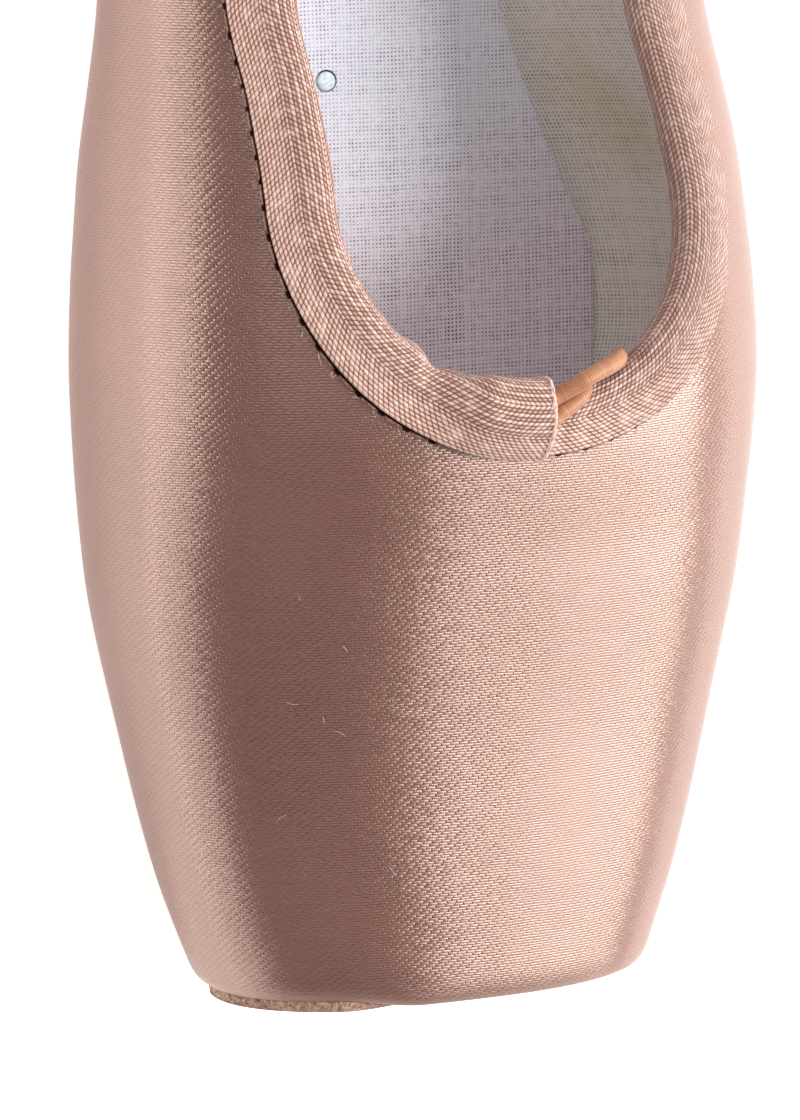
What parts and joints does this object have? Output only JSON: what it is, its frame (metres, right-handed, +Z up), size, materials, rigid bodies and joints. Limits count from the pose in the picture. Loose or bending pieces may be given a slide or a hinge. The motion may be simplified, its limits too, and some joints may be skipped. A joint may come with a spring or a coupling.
{
  "type": "pointe shoe",
  "caption": "Satin pointe shoe, hollow inside: stiff toe box ending in a flat platform, bound collar with a drawstring, canvas insole and narrow leather outsole.",
  "frame": {"origin": "on the floor under the middle of the shoe's length and width, the shoe standing on its sole", "axes": "+Z up; toe and platform towards -Y, heel towards +Y; +X to the right when the toe points down the page and the inside faces the reader, as in the picture"},
  "size_m": [0.0784, 0.238, 0.054],
  "materials": {
    "satin": "pink-tan satin with a soft sheen across the threads",
    "sole_leather": "tan split leather, matt",
    "insole_canvas": "off-white plain-weave canvas, matt",
    "nail_steel": "bright scratched nail head",
    "tip_suede": "brushed suede, matt",
    "binding_tape": "herringbone tape, matt",
    "drawstring_cord": "thread-wrapped elastic cord, slight sheen"
  },
  "bodies": {
    "root": {"upper": "satin", "outsole": "sole_leather", "insole": "insole_canvas", "insole_nail": "nail_steel", "platform_tip": "tip_suede", "binding": "binding_tape", "drawstring_inner": "drawstring_cord", "drawstring_outer": "drawstring_cord"}
  },
  "joints": []
}
